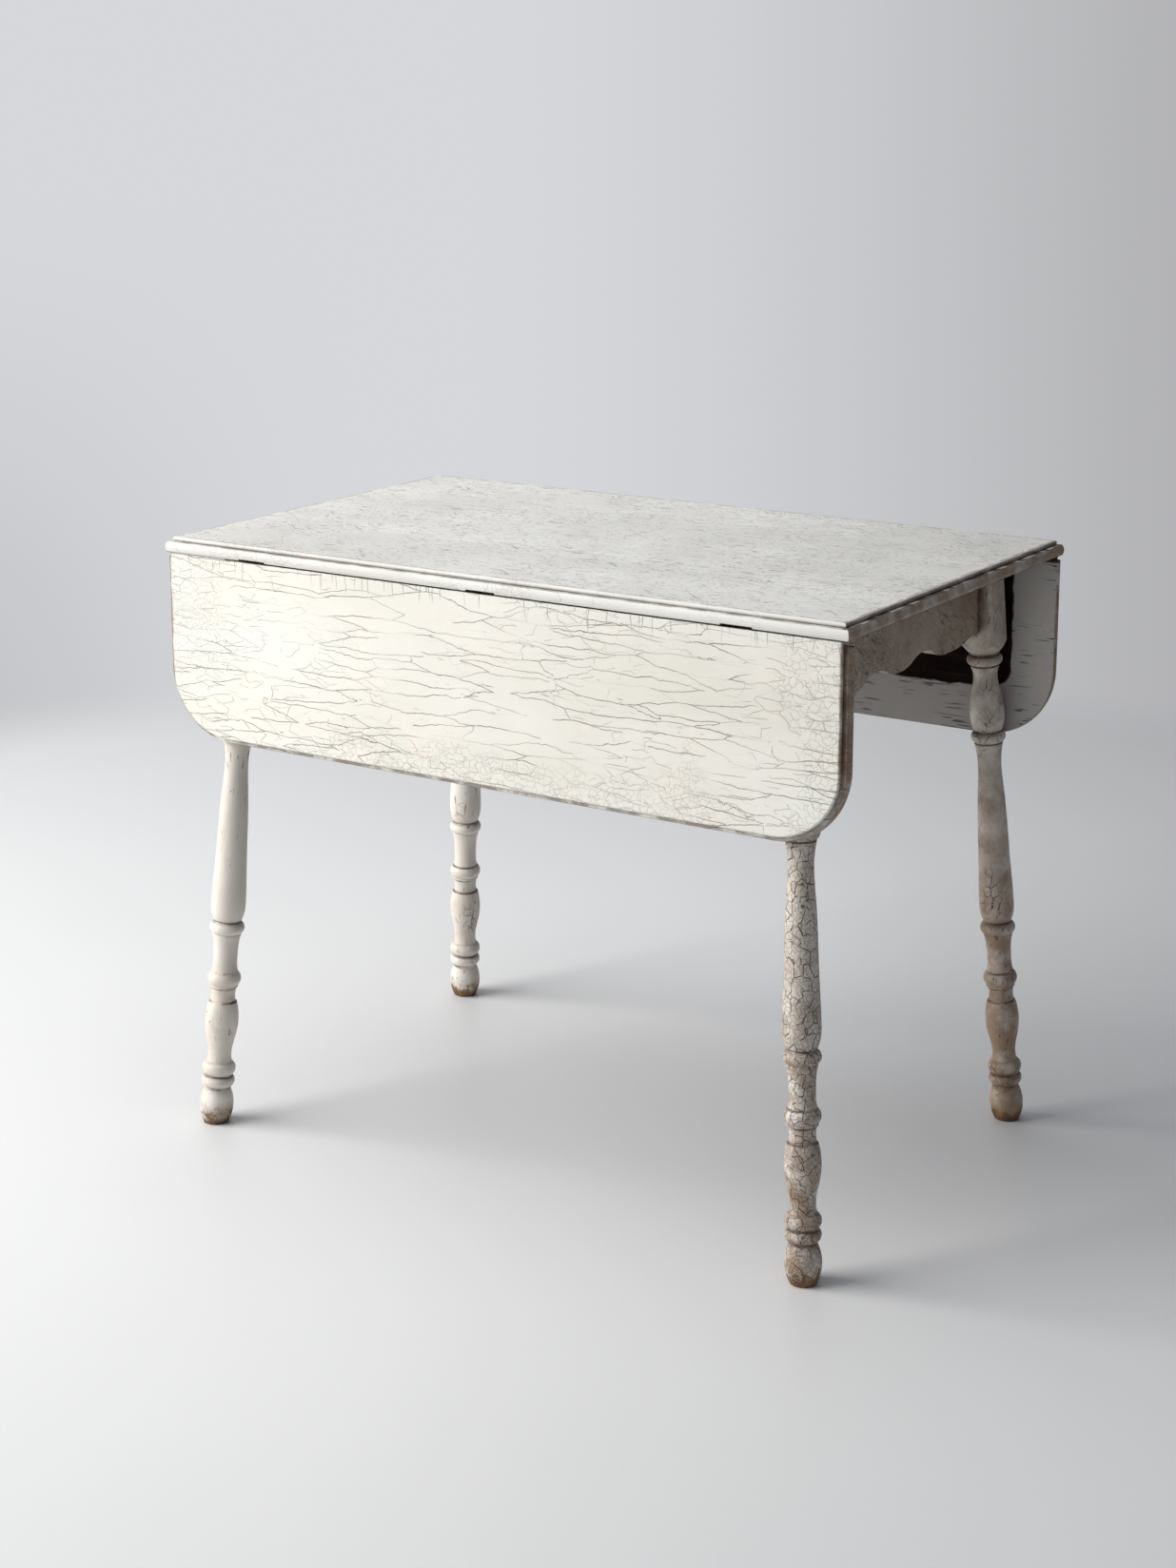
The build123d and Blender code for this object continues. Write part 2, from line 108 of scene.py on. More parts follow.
class Graph:
    """A short way to write a shader's nodes. Every method returns an output socket."""

    def __init__(self, tree):
        self.tree = tree

    def node(self, kind, **settings):
        made = self.tree.nodes.new(kind)
        for name, value in settings.items():
            setattr(made, name, value)
        return made

    def feed(self, socket, value):
        if isinstance(value, bpy.types.NodeSocket):
            self.tree.links.new(value, socket)
        elif value is not None:
            socket.default_value = value

    def math(self, operation, a, b=None, c=None, clamp=False):
        made = self.node("ShaderNodeMath", operation=operation, use_clamp=clamp)
        for socket, value in zip(made.inputs, (a, b, c)):
            self.feed(socket, value)
        return made.outputs[0]

    def vector(self, operation, a, b=None, scale=None):
        made = self.node("ShaderNodeVectorMath", operation=operation)
        self.feed(made.inputs[0], a)
        self.feed(made.inputs[1], b)
        if scale is not None:
            self.feed(made.inputs["Scale"], scale)
        number = operation in ("LENGTH", "DOT_PRODUCT")
        return made.outputs["Value" if number else "Vector"]

    def noise(self, place, scale, detail=2.0, rough=0.5, colour=False):
        made = self.node("ShaderNodeTexNoise")
        self.feed(made.inputs["Vector"], place)
        made.inputs["Scale"].default_value = scale
        made.inputs["Detail"].default_value = detail
        made.inputs["Roughness"].default_value = rough
        return made.outputs["Color" if colour else "Fac"]

    def cell(self, place, feature):
        made = self.node("ShaderNodeTexVoronoi", feature=feature)
        self.feed(made.inputs["Vector"], place)
        made.inputs["Scale"].default_value = 1.0
        return made.outputs["Position"]

    def span(self, value, low, high, to_low=0.0, to_high=1.0):
        made = self.node("ShaderNodeMapRange", interpolation_type="SMOOTHSTEP")
        for socket, number in zip(made.inputs, (value, low, high, to_low, to_high)):
            self.feed(socket, number)
        return made.outputs[0]

    def mix(self, share, a, b):
        made = self.node("ShaderNodeMix", data_type="RGBA")
        self.feed(made.inputs[0], share)
        self.feed(made.inputs[6], a)
        self.feed(made.inputs[7], b)
        return made.outputs[2]

    def parts(self, value):
        made = self.node("ShaderNodeSeparateXYZ")
        self.feed(made.inputs[0], value)
        return made.outputs

    def sizes(self, value):
        """The parts of a place, each without its sign, so that both sides are alike."""
        return self.parts(self.vector("ABSOLUTE", value))


def start_material(name):
    """A new material, its graph, its shader, and its coordinates in the object's frame."""
    material = bpy.data.materials.new(name)
    material.use_nodes = True
    g = Graph(material.node_tree)
    shader = next(n for n in g.tree.nodes if n.type == "BSDF_PRINCIPLED")
    where = g.node("ShaderNodeTexCoord")
    return material, g, shader, where.outputs


def raise_bump(g, shader, height, distance, strength):
    """Sends a height in shares of a distance, in metres, to the shader's normal."""
    bump = g.node("ShaderNodeBump")
    bump.inputs["Strength"].default_value = strength
    bump.inputs["Distance"].default_value = distance
    g.feed(bump.inputs["Height"], height)
    g.feed(shader.inputs["Normal"], bump.outputs[0])


def crevice(g, reach):
    """How closed in a spot is, from 0 in the open to 1."""
    made = g.node("ShaderNodeAmbientOcclusion", samples=6)
    made.inputs["Distance"].default_value = reach
    return g.math("SUBTRACT", 1.0, made.outputs["AO"])


def rubbed_edge(g, radius):
    """How near a spot is to a sharp edge, from the rounded normal's turn."""
    bevel = g.node("ShaderNodeBevel", samples=4)
    bevel.inputs["Radius"].default_value = radius
    true = g.node("ShaderNodeNewGeometry").outputs["Normal"]
    turn = g.vector("DOT_PRODUCT", bevel.outputs[0], true)
    return g.math("SUBTRACT", 1.0, turn)


def between(g, value, low, high, soft):
    """1 where a value lies between two limits, fading over a soft width outside them."""
    above = g.span(value, low - soft, low)
    below = g.span(value, high, high + soft, 1.0, 0.0)
    return g.math("MULTIPLY", above, below)


def behind_face(g, value, face):
    """1 on a face, and 0 from a hair in front of it."""
    return g.span(value, face + 0.0003, face + 0.0008, 1.0, 0.0)


def warped(g, place, amount, scale, detail=3.0):
    """The place pushed about by noise, so that lines through it waver."""
    push = g.vector("SUBTRACT", g.noise(place, scale, detail, 0.6, colour=True), (0.5,) * 3)
    return g.vector("ADD", place, g.vector("SCALE", push, scale=amount))


# Cracks and marks ---------------------------------------------------------------------------

def crack_net(g, place, normal, cell, width, keep, upright_keep, seed):
    """Lines between stretched cells, at a real width. cell is a cell's size along each axis in
    metres. keep and upright_keep are the shares of level and upright lines that show."""
    stretch = tuple(1.0 / size for size in cell)
    spot = g.vector("MULTIPLY", place, stretch)
    spot = g.vector("ADD", spot, (seed, seed * 1.7, seed * 0.6))
    first, second = g.cell(spot, "F1"), g.cell(spot, "F2")
    across = g.vector("SUBTRACT", second, first)
    middle = g.vector("SCALE", g.vector("ADD", first, second), scale=0.5)
    from_middle = g.vector("SUBTRACT", spot, middle)
    offset = g.math("ABSOLUTE", g.vector("DOT_PRODUCT", from_middle, across))
    slope = g.vector("MULTIPLY", across, stretch)
    out = g.vector("SCALE", normal, scale=g.vector("DOT_PRODUCT", slope, normal))
    slope = g.vector("SUBTRACT", slope, out)
    steep = g.vector("LENGTH", slope)
    distance = g.math("DIVIDE", offset, steep)
    level = g.math("DIVIDE", g.math("ABSOLUTE", g.parts(slope)[2]), steep)
    chance = g.noise(middle, 6.3, 0.0)
    limits = [0.5 + 0.25 * (1 - 2 * share) for share in (upright_keep, keep)]
    wanted = g.span(level, 0.80, 0.985, *limits)
    shown = g.span(g.math("SUBTRACT", chance, wanted), -0.03, 0.05)
    breadth = g.math("MULTIPLY_ADD", chance, 1.4 * width, 0.3 * width)
    line = g.span(g.math("DIVIDE", distance, breadth), 0.35, 1.0, 1.0, 0.0)
    return g.math("MULTIPLY", line, shown)


def dashes(g, place, scale, low, patch_scale, patch_low, axis="Z", turn=0.0):
    """Short marks along the scale's smallest axis, in patches, turned about an axis."""
    turned = g.node("ShaderNodeVectorRotate", rotation_type=axis + "_AXIS")
    g.feed(turned.inputs["Vector"], place)
    turned.inputs["Angle"].default_value = math.radians(turn)
    mark = g.noise(g.vector("MULTIPLY", turned.outputs[0], scale), 1.0, 1.0)
    mark = g.span(mark, low, low + 0.05)
    patch = g.noise(place, patch_scale, 2.0)
    return g.math("MULTIPLY", mark, g.span(patch, patch_low, patch_low + 0.15))


TICKS = dict(cell=(0.013, 0.5, 0.30), width=0.0005, keep=0.0, upright_keep=0.5, seed=9.0)
LONG_CRACKS = dict(
    cell=(0.100, 0.022, 0.015), width=0.00055, keep=0.74, upright_keep=0.32, seed=1.0
)
SHORT_CRACKS = dict(
    cell=(0.024, 0.012, 0.011), width=0.00042, keep=0.55, upright_keep=0.42, seed=4.0
)
FINE_CRACKLE = dict(
    cell=(0.0080, 0.007, 0.0065), width=0.00035, keep=0.7, upright_keep=0.7, seed=7.0
)
LEG_CRACKS = dict(
    cell=(0.010, 0.010, 0.014), width=0.00060, keep=0.72, upright_keep=0.62, seed=2.0
)
LEG_CRACKLE = dict(
    cell=(0.005, 0.005, 0.006), width=0.00045, keep=0.7, upright_keep=0.7, seed=5.0
)
TOP_CRACKS = dict(
    cell=(0.040, 0.012, 0.03), width=0.0005, keep=0.5, upright_keep=0.5, seed=3.0
)
INNER_STREAKS = dict(scale=(28.0, 200.0, 420.0), low=0.60, patch_scale=14.0, patch_low=0.40)


def hanging_cracks(g, place, normal):
    """Upright cracks that start at a leaf's top edge and die out below it."""
    ticks = g.math("MULTIPLY", crack_net(g, place, normal, **TICKS), 0.6)
    along = g.vector("MULTIPLY", place, (60.0, 0.0, 0.0))
    reach = g.math("MULTIPLY", g.noise(along, 1.0, 1.0), 0.05)
    down = g.math("SUBTRACT", LEAF_TOP, g.parts(place)[2])
    alive = g.span(g.math("SUBTRACT", down, reach), -0.014, -0.002, 1.0, 0.0)
    return g.math("MULTIPLY", ticks, alive)


# Masks: each says where on a piece something happens, from 0 to 1 ---------------------------

def nowhere(g, place):
    """No part of a piece."""
    return 0.0


def everywhere(g, place):
    """The whole of a piece."""
    return 1.0


def leaf_inner_face(g, place):
    """A leaf's inner face."""
    return behind_face(g, g.sizes(place)[1], LEAF_INNER_Y)


def leaf_inside(g, place):
    """The bare middle of a leaf's inner face, inside a painted margin."""
    length, _, height = g.sizes(warped(g, place, 0.010, 30.0, 4.0))
    corner = g.node("ShaderNodeCombineXYZ")
    past_end = g.math("SUBTRACT", length, BARE_CORNER_X)
    past_foot = g.math("SUBTRACT", BARE_CORNER_Z, height)
    g.feed(corner.inputs[0], g.math("MAXIMUM", past_end, 0.0))
    g.feed(corner.inputs[1], g.math("MAXIMUM", past_foot, 0.0))
    from_corner = g.vector("LENGTH", corner.outputs[0])
    bare = g.span(from_corner, *BARE_CORNER_RADIUS, 1.0, 0.0)
    return g.math("MULTIPLY", leaf_inner_face(g, place), bare)


def leaf_ends(g, place):
    """How near a spot is to a leaf's ends and bottom edge, where the crackle is finest."""
    length, _, height = g.sizes(place)
    end = g.span(length, TOP_HALF_LENGTH - 0.13, TOP_HALF_LENGTH - 0.03)
    foot = g.span(height, LEAF_FOOT + 0.02, LEAF_FOOT + 0.06, 0.7, 0.0)
    return g.math("MAXIMUM", end, foot)


def leaf_bead_darkening(g, place, normal):
    """Grime on the larger bead round a leaf's edge, and the smaller bead at its ends made darker and
    browner.
    """
    length, depth, _ = g.sizes(place)
    large = between(g, depth, *LARGE_BEAD_Y, 0.0008)
    # Near each end of the leaf, the outer edge of the bead is made darker and browner.
    end = g.span(length, TOP_HALF_LENGTH - 0.014, TOP_HALF_LENGTH - 0.005)
    outer = g.span(depth, LARGE_BEAD_Y[1] - 0.002, LARGE_BEAD_Y[1])
    return g.math("MAXIMUM", large, g.math("MULTIPLY", end, outer))


def leaf_quirk(g, place):
    """The groove between the two beads round a leaf's edge."""
    groove = between(g, g.sizes(place)[1], *LEAF_QUIRK_Y, 0.0006)
    return g.math("MULTIPLY", groove, 0.6)


def top_underside(g, place):
    """The top's underside, never painted."""
    return behind_face(g, g.parts(place)[2], UNDERSIDE)


def top_field(g, place):
    """The flat of the top, inside its beads."""
    length, depth, _ = g.sizes(place)
    inside_end = g.math("LESS_THAN", length, TOP_FIELD_X)
    inside_side = g.math("LESS_THAN", depth, TOP_FIELD_Y)
    return g.math("MULTIPLY_ADD", g.math("MULTIPLY", inside_end, inside_side), 0.92, 0.08)


def top_quirk_and_end_shade(g, place):
    """The groove between the two beads on the top's edge, drawn darker round the ends as painted shade,
    and the line inside them.
    """
    length, depth, height = g.sizes(place)
    groove = between(g, height, *TOP_QUIRK, 0.0005)
    # Painted shade: the groove is twice as dark round the top's ends, which face away from the light, as
    # along its sides.
    groove = g.math("MULTIPLY", groove, g.span(length, TOP_FIELD_X, TOP_FIELD_X + 0.004, 0.45, 0.9))
    side_line = between(g, depth, TOP_FIELD_Y, TOP_FIELD_Y + 0.0018, 0.0008)
    end_line = between(g, length, TOP_FIELD_X, TOP_FIELD_X + 0.0018, 0.0008)
    flat = g.span(height, TABLE_HEIGHT - 0.0005, TABLE_HEIGHT - 0.0002)
    line = g.math("MULTIPLY", g.math("MAXIMUM", side_line, end_line), flat)
    return g.math("MAXIMUM", groove, g.math("MULTIPLY", line, 0.55))


def end_stain(g, place, normal):
    """Grime on what faces along the table."""
    return g.math("ABSOLUTE", g.parts(normal)[0])


def apron_inside(g, place):
    """The aprons' inner faces, never painted."""
    length, depth, _ = g.sizes(place)
    end = behind_face(g, length, END_APRON_INNER_X)
    side = behind_face(g, depth, LONG_APRON_INNER_Y)
    return g.math("MULTIPLY", end, side)


def right_legs(g, place):
    """The right-hand legs, which are the most worn and, being furthest from the light, take painted
    shade in their grime.
    """
    return g.span(g.parts(place)[0], LEFT_LEGS_X, RIGHT_LEGS_X)


def crackled_legs(g, place):
    """How crackled each leg is: most at the front right, less at the back."""
    front = g.span(g.parts(place)[1], *BETWEEN_LEGS_Y, 1.0, 0.30)
    return g.math("MULTIPLY", right_legs(g, place), front)


def leg_feet(g, place):
    """The worn ends of the feet, where little paint is left."""
    patchy = g.math("MULTIPLY", g.noise(place, 60.0, 5.0, 0.65), 0.075)
    height = g.math("SUBTRACT", g.parts(place)[2], patchy)
    return g.span(height, -0.026, -0.018, 0.85, 0.0)


def leg_stain_and_shade(g, place, normal):
    """Grime that deepens down the legs and at the feet; on the right-hand ones, furthest from the light,
    it is also painted shade, browner and darker towards the back.
    """
    _, depth, height = g.parts(place)
    low = g.span(height, 0.10, 0.42, 0.42, 0.12)
    # Staining and painted shade: on the right-hand legs, furthest from the light, this adds a browner,
    # darker colour, more at the back; the aprons use it too.
    brown = g.span(depth, *BETWEEN_LEGS_Y, 0.44, 0.58)
    low = g.math("MULTIPLY_ADD", right_legs(g, place), brown, low)
    foot = g.span(height, 0.004, 0.055, 0.95, 0.0)
    return g.math("MAXIMUM", low, foot)


def leg_quirk(g, place):
    """The narrow grooves of the legs' turning, across each leg's own axis."""
    from_foot = g.vector("SUBTRACT", g.vector("ABSOLUTE", place), FOOT_PLACE)
    along = g.vector("DOT_PRODUCT", from_foot, LEG_RUN)
    groove = 0.0
    for height in LEG_GROOVES:
        line = between(g, along, height - 0.0006, height + 0.0006, 0.0013)
        groove = g.math("MAXIMUM", groove, line)
    return g.math("MULTIPLY", groove, 0.85)


# Looks: what each painted surface is like ---------------------------------------------------

LEAF_LOOK = {
    "light": rgb(238, 236, 227),
    "dark": rgb(229, 225, 214),
    "tint": rgb(239, 232, 221),
    "sway": (0.010, 14.0),
    "jag": (0.0060, 48.0, 5.0),
    "nets": (
        dict(net=LONG_CRACKS, strength=0.78, patch_scale=7.0, patch_low=0.35),
        dict(net=SHORT_CRACKS, strength=0.52, patch_scale=9.0, patch_low=0.43, near=leaf_ends),
        dict(net=FINE_CRACKLE, strength=0.42, patch_scale=8.0, patch_low=0.59, near=leaf_ends),
    ),
    "crack": rgb(84, 76, 70),
    "hanging": True,
    "marked": everywhere,
    "dashes": (
        dict(scale=(30.0, 300.0, 420.0), low=0.71, patch_scale=7.0, patch_low=0.45),
    ),
    "grain": LEVEL_GRAIN,
    "smear": 0.10,
    "stain_and_shade": leaf_bead_darkening,
    "reach": 0.009,
    "closed": (0.22, 0.72),
    "crevice": 0.6,
    "quirk": leaf_quirk,
    "rough_side": leaf_inner_face,
    "rub": 0.46,
    "chip_scale": 85.0,
    "chip": 0.80,
    "wood_grain": LEVEL_WOOD,
    "unpainted": leaf_inside,
    "old_wood": DARK_WOOD,
}
TOP_LOOK = LEAF_LOOK | {
    "light": rgb(230, 228, 222),
    "dark": rgb(212, 210, 203),
    "tint": rgb(220, 217, 211),
    "nets": (
        dict(net=TOP_CRACKS, strength=0.50, patch_scale=6.0, patch_low=0.44),
        dict(net=FINE_CRACKLE, strength=0.35, patch_scale=5.0, patch_low=0.48),
    ),
    "hanging": False,
    "marked": top_field,
    "dashes": (
        dict(scale=(45.0, 500.0, 300.0), low=0.64, patch_scale=9.0, patch_low=0.32),
        dict(scale=(170.0, 330.0, 300.0), low=0.66, patch_scale=12.0, patch_low=0.36),
        dict(scale=(16.0, 380.0, 300.0), low=0.69, patch_scale=11.0, patch_low=0.42, turn=38.0),
        dict(scale=(60.0, 300.0, 300.0), low=0.68, patch_scale=13.0, patch_low=0.44, turn=-55.0),
    ),
    "smear": 0.22,
    "stain_and_shade": end_stain,
    "crevice": 0.35,
    "quirk": top_quirk_and_end_shade,
    "rough_side": nowhere,
    "rub": 0.40,
    "chip": 0.76,
    "unpainted": top_underside,
}
LEG_LOOK = LEAF_LOOK | {
    "light": rgb(239, 235, 228),
    "dark": rgb(217, 209, 197),
    "tint": rgb(226, 214, 201),
    "sway": (0.006, 40.0),
    "jag": (0.0020, 160.0, 2.0),
    "nets": (
        dict(net=LEG_CRACKS, strength=1.00, patch_scale=14.0, patch_low=0.52, near=crackled_legs),
        dict(net=LEG_CRACKLE, strength=0.60, patch_scale=14.0, patch_low=0.56, near=crackled_legs),
    ),
    "crack": rgb(66, 52, 42),
    "hanging": False,
    "dashes": (
        dict(scale=(300.0, 300.0, 60.0), low=0.66, patch_scale=12.0, patch_low=0.42),
    ),
    "grain": UPRIGHT_GRAIN,
    "smear": 0.30,
    "stain_and_shade": leg_stain_and_shade,
    "reach": 0.014,
    "closed": (0.09, 0.30),
    "crevice": 0.95,
    "quirk": leg_quirk,
    "rough_side": nowhere,
    "rub": 0.40,
    "chip_scale": 60.0,
    "chip": 0.74,
    "wood_grain": UPRIGHT_WOOD,
    "unpainted": leg_feet,
    "old_wood": FOOT_WOOD,
}
APRON_LOOK = LEG_LOOK | {
    "light": rgb(206, 190, 172),
    "dark": rgb(162, 145, 126),
    "tint": rgb(186, 166, 146),
    "nets": (
        dict(net=LEG_CRACKS, strength=0.60, patch_scale=14.0, patch_low=0.36),
        dict(net=LEG_CRACKLE, strength=0.50, patch_scale=14.0, patch_low=0.40),
    ),
    "dashes": (
        dict(scale=(200.0, 40.0, 420.0), low=0.62, patch_scale=9.0, patch_low=0.34, axis="X", turn=35.0),
        dict(scale=(200.0, 60.0, 500.0), low=0.64, patch_scale=9.0, patch_low=0.36, axis="X", turn=10.0),
    ),
    "grain": APRON_GRAIN,
    "closed": (0.30, 0.80),
    "quirk": nowhere,
    "wood_grain": END_WOOD,
    "unpainted": apron_inside,
    "old_wood": DARK_WOOD,
}


# Materials ----------------------------------------------------------------------------------

def look_cracks(g, look, place, normal, rough_side):
    """A look's cracks and brushed marks, and the streaks on a rough side, as one mask."""
    bent = warped(g, warped(g, place, *look["sway"]), *look["jag"])
    cracks = 0.0
    for layer in look["nets"]:
        net = crack_net(g, bent, normal, **layer["net"])
        patch = g.noise(place, layer["patch_scale"], 2.0)
        if "near" in layer:
            patch = g.math("MULTIPLY_ADD", layer["near"](g, place), 0.3, patch)
        patch = g.span(patch, layer["patch_low"], layer["patch_low"] + 0.16)
        net = g.math("MULTIPLY", g.math("MULTIPLY", net, patch), layer["strength"])
        cracks = g.math("MAXIMUM", cracks, net)
    if look["hanging"]:
        cracks = g.math("MAXIMUM", cracks, hanging_cracks(g, bent, normal))
    marked = g.math("MULTIPLY", look["marked"](g, place), 0.7)
    for mark in look["dashes"]:
        marks = g.math("MULTIPLY", dashes(g, bent, **mark), marked)
        cracks = g.math("MAXIMUM", cracks, marks)
    cracks = g.math("MULTIPLY", cracks, g.math("MULTIPLY_ADD", rough_side, -0.85, 1.0))
    streaks = g.math("MULTIPLY", dashes(g, place, **INNER_STREAKS), rough_side)
    return g.math("MAXIMUM", cracks, g.math("MULTIPLY", streaks, 0.9))


def clean_paint(g, look, place, grain, rough_side):
    """The clean paint's colour: patchy, smeared along the brushing, duller on a rough side, where
    painted light makes it lighter towards the table's ends.
    """
    tone = g.math("MULTIPLY_ADD", g.noise(grain, 1.0, 4.0), 0.7, g.noise(place, 6.0, 4.0))
    colour = g.mix(g.span(tone, 0.55, 1.10), look["dark"], look["light"])
    tint = g.span(g.noise(place, 17.0, 3.0, 0.6), 0.52, 0.66)
    colour = g.mix(g.math("MULTIPLY", tint, 0.7), colour, look["tint"])
    smear = g.span(g.noise(grain, 2.3, 6.0, 0.7), 0.56, 0.74)
    colour = g.mix(g.math("MULTIPLY", smear, look["smear"]), colour, SMEAR)
    # Painted light: the rough side is painted lighter towards the table's ends, as if light caught it
    # there.
    painted_light_at_ends = g.span(g.sizes(place)[0], TOP_HALF_LENGTH - 0.10, TOP_HALF_LENGTH - 0.01)
    inner_paint_and_light = g.mix(painted_light_at_ends, *INNER_PAINT_AND_PAINTED_LIGHT)
    return g.mix(g.math("MULTIPLY", rough_side, 0.8), colour, inner_paint_and_light)


def grime_and_painted_shade(g, look, place, normal, colour):
    """A colour under its grime and painted shade, which are darkest in grooves and corners."""
    blotchy = g.noise(place, 35.0, 5.0, 0.65)
    stain_and_shade_mask = g.math("MULTIPLY", look["stain_and_shade"](g, place, normal), blotchy)
    colour = g.mix(g.span(stain_and_shade_mask, 0.12, 0.60), colour, STAIN_AND_PAINTED_SHADE)
    # Grime and painted shade: occlusion darkens grooves, corners and the joints between parts.
    closed = g.span(crevice(g, look["reach"]), *look["closed"])
    uneven = g.span(g.noise(place, 60.0, 4.0), 0.25, 0.6, 0.55, 1.0)
    closed = g.math("MULTIPLY", g.math("MULTIPLY", closed, uneven), look["crevice"])
    # Grime and painted shade: the narrow grooves are drawn as broken dark lines.
    broken = g.span(g.noise(place, 48.0, 4.0), 0.34, 0.56)
    quirk = g.math("MULTIPLY", look["quirk"](g, place), broken)
    return g.mix(g.math("MAXIMUM", closed, quirk), colour, CREVICE_GRIME_AND_SHADE)


def worn_through(g, look, place):
    """Where edges are rubbed bare and where paint has chipped off."""
    edge = g.span(rubbed_edge(g, 0.0018), 0.02, 0.22)
    rubbed = g.math("MULTIPLY", edge, g.noise(place, 90.0, 5.0, 0.65))
    rubbed = g.span(rubbed, look["rub"], look["rub"] + 0.08)
    chips = g.noise(place, look["chip_scale"], 3.0, 0.55)
    chips = g.span(chips, look["chip"], look["chip"] + 0.02)
    return g.math("MULTIPLY", g.math("MAXIMUM", rubbed, chips), 0.85)


def wood_rings(g, place, grain):
    """The growth rings of old wood, as a height."""
    along = g.vector("MULTIPLY", warped(g, place, 0.01, 9.0), grain)
    return g.noise(along, 1.0, 5.0, 0.6)


def wood_colour(g, place, rings, dark, light):
    """The colour of old unpainted wood, a little dusty."""
    colour = g.mix(g.span(rings, 0.35, 0.65), dark, light)
    dust = g.span(g.noise(place, 12.0, 6.0, 0.7), 0.5, 0.72)
    return g.mix(g.math("MULTIPLY", dust, 0.15), colour, DUST)


def paint(name, look):
    """Old crackled paint over wood, as its look says."""
    material, g, shader, where = start_material(name)
    place, normal = where["Object"], where["Normal"]
    grain = g.vector("MULTIPLY", place, look["grain"])
    rough_side = look["rough_side"](g, place)
    unpainted = look["unpainted"](g, place)
    cracks = look_cracks(g, look, place, normal, rough_side)
    bare = worn_through(g, look, place)
    colour = clean_paint(g, look, place, grain, rough_side)
    colour = grime_and_painted_shade(g, look, place, normal, colour)
    colour = g.mix(cracks, colour, look["crack"])
    colour = g.mix(bare, colour, g.mix(g.noise(grain, 30.0, 4.0), *SCUFFED_WOOD))
    rings = wood_rings(g, place, look["wood_grain"])
    colour = g.mix(unpainted, colour, wood_colour(g, place, rings, *look["old_wood"]))
    g.feed(shader.inputs["Base Color"], colour)
    rough = g.span(g.noise(place, 14.0, 5.0), 0.3, 0.7, 0.42, 0.62)
    rough = g.math("MULTIPLY_ADD", g.math("MAXIMUM", bare, unpainted), 0.2, rough, clamp=True)
    g.feed(shader.inputs["Roughness"], rough)
    g.feed(shader.inputs["Specular IOR Level"], g.math("MULTIPLY_ADD", unpainted, -0.42, 0.5))
    brush = g.noise(g.vector("MULTIPLY", grain, (1.0, 6.0, 6.0)), 3.0, 3.0)
    height = g.math("MULTIPLY_ADD", brush, 0.12, g.noise(place, 45.0, 4.0))
    height = g.math("MULTIPLY_ADD", cracks, -0.9, height)
    height = g.math("MULTIPLY_ADD", bare, -0.7, height)
    raise_bump(g, shader, height, 0.0006, 0.7)
    return material


def bare_wood():
    """Dark, dry, unpainted old wood with its grain along the table."""
    material, g, shader, where = start_material("old_bare_wood")
    place = where["Object"]
    rings = wood_rings(g, place, LEVEL_WOOD)
    g.feed(shader.inputs["Base Color"], wood_colour(g, place, rings, *DARK_WOOD))
    g.feed(shader.inputs["Roughness"], g.span(rings, 0.3, 0.7, 0.6, 0.85))
    raise_bump(g, shader, rings, 0.0005, 0.6)
    return material


def dark_iron():
    """Old iron, brown-black with rust."""
    material, g, shader, where = start_material("old_iron")
    place = where["Object"]
    rust = g.span(g.noise(place, 220.0, 6.0, 0.65), 0.42, 0.62)
    g.feed(shader.inputs["Base Color"], g.mix(rust, IRON, RUST))
    g.feed(shader.inputs["Metallic"], g.math("MULTIPLY_ADD", rust, -0.8, 0.85))
    g.feed(shader.inputs["Roughness"], g.math("MULTIPLY_ADD", rust, 0.35, 0.45))
    raise_bump(g, shader, g.noise(place, 600.0, 5.0), 0.0004, 0.6)
    return material


def floor_material():
    """Pale grey studio floor that thins out at its rim and is clear from below."""
    material, g, shader, where = start_material("studio_floor")
    place = where["Object"]
    g.feed(shader.inputs["Base Color"], g.mix(g.noise(place, 1.3, 4.0), *FLOOR_GREYS))
    shader.inputs["Roughness"].default_value = 0.42
    shader.inputs["Specular IOR Level"].default_value = 0.35
    away = g.vector("LENGTH", g.vector("MULTIPLY", place, (1.0, 1.0, 0.0)))
    below = g.node("ShaderNodeNewGeometry").outputs["Backfacing"]
    solid = g.math("SUBTRACT", g.span(away, *FLOOR_FADE, 1.0, 0.0), below, clamp=True)
    g.feed(shader.inputs["Alpha"], solid)
    return material


# The studio's pieces ------------------------------------------------------------------------

def make_camera():
    """A camera that looks down on the table's front right corner."""
    data = bpy.data.cameras.new("camera")
    data.lens = LENS_MM
    data.sensor_width = SENSOR_MM
    data.shift_y = CAMERA_SHIFT
    camera = bpy.data.objects.new("camera", data)
    camera.location = CAMERA_PLACE
    camera.rotation_euler = (math.radians(90 - CAMERA_DOWN), 0.0, math.radians(CAMERA_TURN))
    bpy.context.scene.collection.objects.link(camera)
    bpy.context.scene.camera = camera


def area_light(name, place, target, size, power, colour):
    """A soft light at a place, facing a target."""
    data = bpy.data.lights.new(name, "AREA")
    data.shape = "RECTANGLE"
    data.size, data.size_y = size
    data.energy = power
    data.color = colour
    light = bpy.data.objects.new(name, data)
    light.location = place
    aim = Vector(target) - Vector(place)
    light.rotation_euler = aim.to_track_quat("-Z", "Y").to_euler()
    bpy.context.scene.collection.objects.link(light)


def make_floor():
    """A round floor under the table, a hair below its feet."""
    bpy.ops.mesh.primitive_circle_add(vertices=128, radius=FLOOR_RADIUS, fill_type="NGON")
    floor = bpy.context.object
    floor.name = "studio_floor"
    floor.location = (0.0, 0.0, -0.0005)
    floor.data.materials.append(floor_material())


